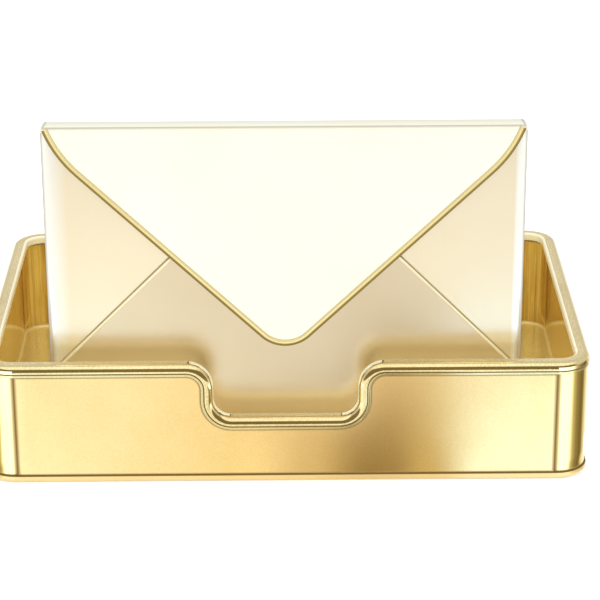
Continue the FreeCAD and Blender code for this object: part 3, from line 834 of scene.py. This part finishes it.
@dataclass
class EnvelopePocket:
    """The envelope's body: a shallow pan, two side flaps and the lower flap with its hem."""

    half_width: float = 114.5
    seat: float = 13.4
    mouth: float = 172.2
    corner: float = 3.2
    front: float = -72.5
    back: float = -66.4
    hollow_back: float = -67.4
    band: float = 4.2
    band_depth: float = 2.8
    sheet: float = 0.7
    side_edge: float = 0.06
    lower_edge: float = 0.08
    play: float = 0.05
    foot_wall: float = 5.0
    side_point: Corner = (22.0, 93.7, 12.0)
    pouch_half: float = 110.5
    pouch_point: float = 163.6
    pouch_foot: float = 17.4
    point_round: float = 60.0
    shoulder_round: float = 10.0
    # width of the dark outline of painted shade along the pan's sides
    outline: float = 1.4
    # how far in the painted highlight along each side flap's outer edge fades, on the left and on the right
    side_glows: tuple[float, float] = (7.0, 1.4)
    hem_half: float = 0.9
    hem_rise: float = 0.45
    # how dark the painted shade on the lower hem is, and where its band begins
    hem_lines: tuple[float, float] = (0.45, 1.0)
    hem_shade: float = 0.62
    # the width and the upper end of the painted highlight along the lower flap's edges
    glow_width: float = 6.0
    glow_end: float = 81.0

    def build(self) -> None:
        """Makes and dresses the pieces."""
        self.make_pan()
        for side, node in ((-1.0, "left_side_flap"), (1.0, "right_side_flap")):
            self.make_side_flap(side, node)
        self.make_lower_flap()
        self.make_hem()

    def make_pan(self) -> None:
        """Makes the back with its rounded sides, open to the front and the top, with a dark outline of painted
        shade along the outermost part of the sides.
        """
        path = [(-self.half_width, self.mouth), (-self.half_width, self.seat, self.corner)]
        steps = trace(path + flipped(path), closed=False, turn=10.0)
        quarter = quarter_turn(8)
        rear = self.band_depth
        section = [(self.band * (1 - math.sin(a)), self.front + self.band_depth * (1 - math.cos(a)))
                   for a in quarter]
        section += [(rear * (1 - math.cos(a)), self.back - rear * (1 - math.sin(a))) for a in quarter]
        blank = Blank()
        # painted shade, darkest where the rounded sides reach furthest out
        light_and_shade = [-max(0.0, 1.0 - inset / self.outline) for inset, _ in section]
        rings = [blank.ring([standing(p + n * inset, depth) for inset, depth in section], light_and_shade)
                 for p, n in steps]
        blank.skin(rings, closed=False, caps=False)
        hollow = self.half_width - self.band - self.play
        low = self.seat + self.foot_wall
        corners = [(-hollow, self.mouth), (-hollow, low), (hollow, low), (hollow, self.mouth)]
        near = blank.ring([standing(Vector(c), self.front) for c in corners])
        far = blank.ring([standing(Vector(c), self.hollow_back) for c in corners])
        blank.faces.append(tuple([ring[0] for ring in rings] + near[::-1]))
        blank.faces.append(tuple(ring[-1] for ring in rings))
        blank.faces.append(tuple(rings[0] + rings[-1][::-1] + [near[3], far[3], far[0], near[0]]))
        blank.skin([near, far], closed=False, caps=False)
        blank.faces.append(tuple(far))
        blank.make("envelope_pan", PEARL, "envelope", "envelope_back")

    def make_side_flap(self, side: float, node: str) -> None:
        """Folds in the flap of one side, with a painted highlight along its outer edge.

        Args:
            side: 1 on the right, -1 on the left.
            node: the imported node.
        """
        edge = self.half_width - self.band
        outline = [
            (edge * side, self.mouth),
            (edge * side, self.seat + self.foot_wall),
            (self.side_point[0] * side, *self.side_point[1:]),
        ]
        blank = Blank()
        plain = (self.side_glows[side > 0.0], self.front, 0.0)
        profile = edge_profile(self.front, self.front + self.sheet, self.side_edge, self.side_edge)
        blank.plate(outline, [plain, *profile], standing)
        # a painted highlight on the outer edge, fading in to the plain ring
        for i, place in enumerate(blank.points):
            blank.light_and_shade[i] = 1.0 if abs(place.x) > edge - 0.1 else 0.0
        blank.make(f"{node}_panel", CHAMPAGNE, "envelope", node)

    def lower_corners(self) -> list[Corner]:
        """Gives the right-hand half of the lower flap's outline."""
        return [
            (0.0, self.pouch_point, self.point_round),
            (self.pouch_half, self.pouch_point - self.pouch_half, self.shoulder_round),
            (self.pouch_half, self.pouch_foot),
        ]

    def make_lower_flap(self) -> None:
        """Makes the sheet of the lower flap, with a painted highlight along its lower edges."""
        face = self.front - self.sheet
        point, *rest = self.lower_corners()
        outline = [point, (self.pouch_point - self.glow_end, self.glow_end), *rest]
        profile = edge_profile(face, self.front, self.lower_edge, self.lower_edge)
        blank = Blank()
        blank.plate(mirrored(outline), [(self.glow_width, face, 0.0), *profile], standing)
        # the rounded edges below the end get a painted highlight, which fades in over its width
        for i, place in enumerate(blank.points):
            if blank.light_and_shade[i]:
                blank.light_and_shade[i] = 1.0 if place.z < self.glow_end - 1.0 else 0.0
        blank.make("lower_flap_sheet", SHADED_CHAMPAGNE, "envelope", "bottom_flap")

    def make_hem(self) -> None:
        """Lays the thin rounded hem along the lower flap's edge, with painted shade along its sides."""
        face = self.front - self.sheet
        points, light_and_shade = hem_section(self.hem_half, self.hem_rise, face, self.front, self.hem_lines,
                                   self.hem_shade)
        blank = Blank()
        blank.sweep(points, light_and_shade, trace(open_path(self.lower_corners()), closed=False, turn=4.0),
                    lambda step, u, v: standing(step[0] - step[1] * u, v))
        blank.make("lower_flap_hem", PALE_GOLD, "envelope", "bottom_flap_bead")


def hem_section(half: float, rise: float, face: float, back: float, lines: tuple[float, float],
                shade: float, count: int = 16) -> tuple[list[tuple[float, float]], list[float]]:
    """Draws the section of a rounded hem that laps over the edge of a sheet, with painted shade along its
    sides.

    Args:
        half: half its width.
        rise: how far it stands in front of the sheet.
        face: the depth of the sheet's face.
        back: the depth of the sheet's back.
        lines: how dark the painted shade is in the line on the sheet's side and in the band at the outer edge.
        shade: how far round it the band of painted shade begins, of its half turn.
        count: the steps of its rounding.

    Returns:
        Its points, as the distance inside the sheet's edge and the depth, and the painted shade of each.
    """
    points = [(0.0, back), (0.0, face), (half, face)]
    light_and_shade = [0.0, 0.0, -lines[0]]
    for k in range(count + 1):
        angle = math.pi * k / count
        points.append((half * math.cos(angle), face - rise * math.sin(angle) ** 0.8))
        # painted shade: a line on the sheet's side and a band towards the outer edge
        near, far = max(0.0, 1.0 - k / 4.0), min(1.0, max(0.0, k - shade * count) / 2.0)
        light_and_shade.append(-lines[0] * near - lines[1] * far)
    points += [(-half, back - 0.15), (0.15 - half, back)]
    return points, light_and_shade + [-lines[1], -lines[1]]


@dataclass
class TopFlap:
    """The top flap with the cap that folds over the envelope's mouth, and its hem."""

    face: float = -75.0
    back: float = -74.0
    crown: float = 175.4
    crown_back: float = -65.1
    fold: float = 1.4
    pitch: float = 22.0
    point: float = 59.7
    point_round: float = 15.6
    shoulder: Corner = (106.5, 161.12, 58.0)
    lip: Corner = (111.9, 174.2)
    hem_half: float = 1.55
    hem_rise: float = 0.85
    # how dark the painted shade on the flap's hem is, and where its band begins
    hem_lines: tuple[float, float] = (1.0, 1.0)
    hem_shade: float = 0.44

    def build(self) -> None:
        """Makes and dresses the pieces."""
        slant, rise = (self.fold * math.sin(math.radians(a)) for a in (self.pitch, 90.0 - self.pitch))
        middle = self.fold * (1.0 - math.sqrt(0.5))
        # lines of painted shade along the front and the back fold over the envelope's mouth
        fold_shades = [
            FoldShade(self.face + middle, self.crown - middle),
            FoldShade(self.crown_back - self.fold + slant, self.crown - self.fold + rise),
        ]
        eased("flap_panel", IVORY, "flap", ease=0.1, fold_shades=fold_shades)
        points, light_and_shade = hem_section(self.hem_half, self.hem_rise, self.face, self.back, self.hem_lines,
                                   self.hem_shade)
        path = open_path([(0.0, self.point, self.point_round), self.shoulder, self.lip])
        blank = Blank()
        blank.sweep(points, light_and_shade, trace(path, closed=False, turn=3.0),
                    lambda step, u, v: standing(step[0] + step[1] * u, v))
        blank.make("flap_hem", HEM_GOLD, "flap", "flap_bead")


@dataclass
class Hinge:
    """The piano hinge across the back of the envelope."""

    ease: float = 0.08

    def build(self) -> None:
        """Makes and dresses the two leaves and the pin."""
        eased("hinge_back_leaf", HINGE_BRASS, "envelope", ease=self.ease)
        eased("hinge_flap_leaf", HINGE_BRASS, "flap", ease=self.ease)
        eased("hinge_pin", HINGE_BRASS, "envelope", ease=self.ease)


# ---------------------------------------------------------------- studio


Place = tuple[float, float, float]
Stops = Sequence[tuple[float, Colour]]


def rectangle(x: float, y: float) -> list[Place]:
    """Gives the corners of a level rectangle, from half its width and half its depth."""
    return [(-x, -y, 0.0), (x, -y, 0.0), (x, y, 0.0), (-x, y, 0.0)]


def placed(name: str, data: bpy.types.ID) -> bpy.types.Object:
    """Makes an object of a mesh, a light or a camera and puts it in the scene."""
    made = bpy.data.objects.new(name, data)
    bpy.context.scene.collection.objects.link(made)
    return made


@dataclass
class Studio:
    """The pale floor, the soft lights, the cards that only the metal mirrors, and the camera."""

    camera_place: Place = (0.0, -1.137, 0.517)
    pitch: float = 22.0
    yaw: float = -0.384
    roll: float = -0.25
    lens: float = 143.1
    daylight: Colour = (1.0, 1.0, 1.0)
    ceiling: Colour = (1.2, 1.2, 1.2)
    back_wall: Colour = (0.7, 0.7, 0.7)
    room: Colour = (0.22, 0.17, 0.09)
    white: Colour = (1.1, 1.1, 1.1)
    tub_reach: float = 0.03
    post_radius: float = 0.0152
    tub_height: float = 0.062

    def build(self) -> None:
        """Makes the floor, the world, the lights and the camera."""
        self.make_floor()
        self.make_world()
        self.make_lights()
        self.make_camera()

    def make_floor(self) -> None:
        """Lays the floor, which keeps the shadow and shows white where it is lit."""
        mesh = bpy.data.meshes.new("floor")
        reach = 6.0
        mesh.from_pydata(rectangle(reach, reach), [], [(0, 1, 2, 3)])
        floor = placed("floor", mesh)
        made = bpy.data.materials.new("floor_white")
        graph = Graph(made)
        path = graph.node("LightPath")
        paper = graph.node("BsdfDiffuse", Color=(0.9, 0.9, 0.9, 1.0)).outputs["BSDF"]
        glow = graph.node("Emission", Color=(1.0, 1.0, 1.0, 1.0), Strength=0.3).outputs["Emission"]
        lit = graph.node("AddShader", _0=paper, _1=glow).outputs["Shader"]
        seen = graph.node("MixShader", Fac=path.outputs["Is Camera Ray"], _1=paper, _2=lit)
        white = graph.node("Emission", Color=(*self.white, 1.0), Strength=1.0).outputs["Emission"]
        mix = graph.node("MixShader", Fac=path.outputs["Is Glossy Ray"], _1=seen.outputs["Shader"],
                         _2=white)
        graph.node("OutputMaterial", Surface=mix.outputs["Shader"])
        made.cycles.emission_sampling = "NONE"
        mesh.materials.append(made)

    def make_world(self) -> None:
        """Surrounds the scene with even light, and its mirror image with a ceiling and a dim room."""
        world = bpy.data.worlds.new("studio")
        bpy.context.scene.world = world
        graph = Graph(world)
        axes = graph.node("SeparateXYZ", Vector=graph.node("TexCoord").outputs["Generated"])
        height = graph.node("MapRange", {"interpolation_type": "SMOOTHSTEP"}, Value=axes.outputs["Z"],
                            From_Min=0.62, From_Max=0.80).outputs["Result"]
        depth = graph.node("MapRange", {"interpolation_type": "SMOOTHSTEP"}, Value=axes.outputs["Y"],
                           From_Min=-0.5, From_Max=-0.15).outputs["Result"]
        before = graph.span(axes.outputs["Y"], 0.12, -0.08, 0.0, 1.0)
        sides = graph.blend(depth, self.room, self.back_wall)
        mirrored_room = graph.blend(graph.sums("MULTIPLY", height, before), sides, self.ceiling)
        path = graph.node("LightPath").outputs
        straight = graph.sums("LESS_THAN", path["Diffuse Depth"], 0.5)
        mirrored = graph.sums("MULTIPLY", path["Is Glossy Ray"], straight)
        back = graph.node("Background", Strength=1.0,
                          Color=graph.blend(mirrored, self.daylight, mirrored_room))
        graph.node("OutputWorld", Surface=back.outputs["Background"])
        world.cycles.sampling_method = "NONE"

    def make_lights(self) -> None:
        """Hangs a soft light above and two in the gap, and lays the cards that the metal mirrors."""
        self.strip_light("key_light", (0.0, -0.85, 0.95), (0.0, -0.09, 0.05), (0.9, 0.7), 4.5)
        self.strip_light("gap_light", (0.0, -0.0748, 0.026), (0.0, -0.09, 0.026), (0.23, 0.03), 0.022)
        self.strip_light("rim_light", (0.0, -0.0762, 0.060), (0.0, -0.09, 0.0585), (0.23, 0.004), 0.006)
        self.card("front_card", (0.0, -0.145, 0.001), (0.6, 0.19), 1.0976, [
            (-0.131, (1.2, 1.44, 1.62)), (-0.10, (1.17, 1.38, 1.5)), (-0.068, (1.1, 1.22, 1.2)),
            (-0.018, (1.12, 1.14, 0.96)), (0.012, (0.72, 0.66, 0.44)), (0.042, (0.27, 0.21, 0.065)),
            (0.054, (0.30, 0.24, 0.09)), (0.073, (0.63, 0.56, 0.28)), (0.1, (1.25, 1.7, 2.3)),
            (0.131, (1.22, 1.7, 2.15))])
        self.card("middle_card", (0.0, -0.30, 0.0006), (0.6, 0.30), 1.2526, [
            (-0.2, (1.15, 1.11, 1.02)), (-0.1, (1.24, 1.2, 1.13)), (0.0, (1.04, 1.02, 1.0)),
            (0.09, (1.15, 1.12, 1.06)), (0.2, (1.1, 1.1, 1.1))], cut=0.0)
        self.card("far_card", (0.0, -2.2, 0.001), (4.0, 2.8), 0.0, [(0.0, (0.15, 0.11, 0.05))])
        right = [(2.0, (1.7, 2.0, 2.5)), (37.0, (1.7, 2.0, 2.2)), (43.0, (1.0, 1.05, 0.85)),
                 (50.0, (0.55, 0.5, 0.33)), (62.0, (0.30, 0.26, 0.15)), (78.0, (0.20, 0.16, 0.06)),
                 (85.0, (0.26, 0.22, 0.12)), (96.0, (0.75, 0.7, 0.6)), (112.0, (1.1, 1.1, 1.1))]
        left = [(-turn, colour) for turn, colour in reversed(right)]
        self.tub("right_tub", (0.1315, -0.077, 0.002), right)
        self.tub("left_tub", (-0.1315, -0.077, 0.002), left)

    def strip_light(self, name: str, place: Place, aim: Place,
                    sides: tuple[float, float], power: float) -> None:
        """Hangs one rectangular soft light.

        Args:
            name: the light's name.
            place: where it hangs, in metres.
            aim: the point that it faces, in metres.
            sides: its width and height, in metres.
            power: its power, in watts.
        """
        data = bpy.data.lights.new(name, "AREA")
        data.shape = "RECTANGLE"
        data.size, data.size_y = sides
        data.energy = power
        lamp = placed(name, data)
        lamp.location = place
        lamp.rotation_euler = (Vector(aim) - Vector(place)).to_track_quat("-Z", "Y").to_euler()
        lamp.visible_camera = False
        lamp.visible_glossy = False

    def card(self, name: str, place: Place, sides: tuple[float, float],
             fan: float, stops: Stops, cut: float = 0.075) -> None:
        """Lays a card on the floor that only the metal's reflections see.

        Args:
            name: the card's name.
            place: its middle, in metres.
            sides: its width and depth, in metres.
            fan: how far behind its middle its bands of colour meet, in metres, or 0 where they
                run straight and its rear edge fades out.
            stops: its colours from left to right, each with the X that it stands at in its middle.
            cut: how far its front edge stands back in its middle, where a fan has a notch.
        """
        x, y = sides[0] / 2, sides[1] / 2
        made = bpy.data.materials.new(name)
        graph = Graph(made)
        axes = graph.node("SeparateXYZ", Vector=graph.node("TexCoord").outputs["Object"]).outputs
        if fan:
            shrink = graph.sums("MULTIPLY_ADD", axes["Y"], -1.0 / fan, 1.0)
            across = graph.sums("DIVIDE", axes["X"], shrink)
            bay = graph.span(graph.sums("ABSOLUTE", across), 0.038, 0.046, cut, 0.0)
            fade = graph.span(graph.sums("SUBTRACT", axes["Y"], bay), -y, -y + 0.01, 0.0, 1.0)
        else:
            fade = graph.span(axes["Y"], y, y * 0.9, 0.0, 1.0)
            across = axes["X"]
        self.glowing(graph, across, x, stops, fade)
        self.reflector(name, place, rectangle(x, y), [(0, 1, 2, 3)], made)

    def tub(self, name: str, place: Place,
            stops: Stops) -> None:
        """Bends a card round a corner of the tray, where only the metal's reflections see it.

        Args:
            name: the card's name.
            place: the middle of its bend, in metres.
            stops: its colours round the bend, each with its turn in degrees from the front to
                the right.
        """
        turns = [stops[0][0] + (stops[-1][0] - stops[0][0]) * k / 24 for k in range(25)]
        ways = [Vector((math.sin(math.radians(turn)), -math.cos(math.radians(turn)), 0.0))
                for turn in turns]
        rim = [way * self.tub_reach for way in ways]
        points = [Vector((0.0, 0.0, 0.0)), *rim, *(p + Vector((0.0, 0.0, self.tub_height)) for p in rim)]
        count = len(rim)
        faces = [(0, k, k + 1) for k in range(1, count)]
        faces += [(k, k + 1, k + 1 + count, k + count) for k in range(1, count)]
        made = bpy.data.materials.new(name)
        graph = Graph(made)
        axes = graph.node("SeparateXYZ", Vector=graph.node("TexCoord").outputs["Object"]).outputs
        turn = graph.sums("ARCTAN2", axes["X"], graph.sums("MULTIPLY", axes["Y"], -1.0))
        flat = graph.node("CombineXYZ", X=axes["X"], Y=axes["Y"])
        radius = graph.node("VectorMath", {"operation": "LENGTH"}, _0=flat.outputs["Vector"])
        stretch = graph.span(radius.outputs["Value"], self.post_radius, self.tub_reach, 1.5, 1.0)
        turn = graph.sums("MULTIPLY", turn, stretch)
        self.glowing(graph, graph.sums("DEGREES", turn), 180.0, stops, None)
        self.reflector(name, place, points, faces, made)

    def glowing(self, graph: Graph, across: bpy.types.NodeSocket, reach: float,
                stops: Stops, fade: bpy.types.NodeSocket | None) -> None:
        """Makes a card's material glow in its colours.

        Args:
            graph: the material's nodes.
            across: the value that the colours follow.
            reach: that value's largest size.
            stops: the colours, each with its value.
            fade: how solid the card is, or nothing where it's solid all over.
        """
        ramp = graph.node("ValToRGB", Fac=graph.span(across, -reach, reach, 0.0, 1.0))
        ramp.color_ramp.interpolation = "EASE"
        spots = ramp.color_ramp.elements
        spots.remove(spots[1])
        spots[0].color = (*stops[0][1], 1.0)
        for spot, colour in stops:
            spots.new((spot + reach) / (reach * 2)).color = (*colour, 1.0)
        glow = graph.node("Emission", Color=ramp.outputs["Color"], Strength=1.0).outputs["Emission"]
        if fade is not None:
            clear = graph.node("BsdfTransparent").outputs["BSDF"]
            glow = graph.node("MixShader", Fac=fade, _1=clear, _2=glow).outputs["Shader"]
        graph.node("OutputMaterial", Surface=glow)

    def reflector(self, name: str, place: Place, points: Sequence[Sequence[float]],
                  faces: Sequence[tuple[int, ...]], made: bpy.types.Material) -> None:
        """Puts up a card.

        Args:
            name: its name.
            place: where its middle stands, in metres.
            points: its points.
            faces: its faces.
            made: its material.
        """
        mesh = bpy.data.meshes.new(name)
        mesh.from_pydata([tuple(p) for p in points], [], faces)
        made.cycles.emission_sampling = "NONE"
        mesh.materials.append(made)
        card = placed(name, mesh)
        card.location = place
        card.visible_camera = False
        card.visible_diffuse = False
        card.visible_shadow = False

    def make_camera(self) -> None:
        """Sets up the camera, which looks down on the tray from the front."""
        data = bpy.data.cameras.new("camera")
        data.lens = self.lens
        data.sensor_width = 36.0
        data.clip_end = 50.0
        camera = placed("camera", data)
        turn = Matrix.Rotation(math.radians(self.yaw), 4, "Z")
        tilt = Matrix.Rotation(math.radians(90.0 - self.pitch), 4, "X")
        roll = Matrix.Rotation(math.radians(self.roll), 4, "Z")
        camera.matrix_world = Matrix.Translation(self.camera_place) @ turn @ tilt @ roll
        bpy.context.scene.camera = camera


def main() -> None:
    """Builds the scene."""
    logging.basicConfig(level=logging.INFO, format="%(message)s")
    bpy.context.scene.view_settings.view_transform = "Standard"
    for part in (Studio(), TrayShell(), Rails(), Undercarriage(), Cradle(), EnvelopePocket(), TopFlap(),
                 Hinge()):
        part.build()
        LOG.info("%s is done", type(part).__name__)


if __name__ == "__main__":
    main()
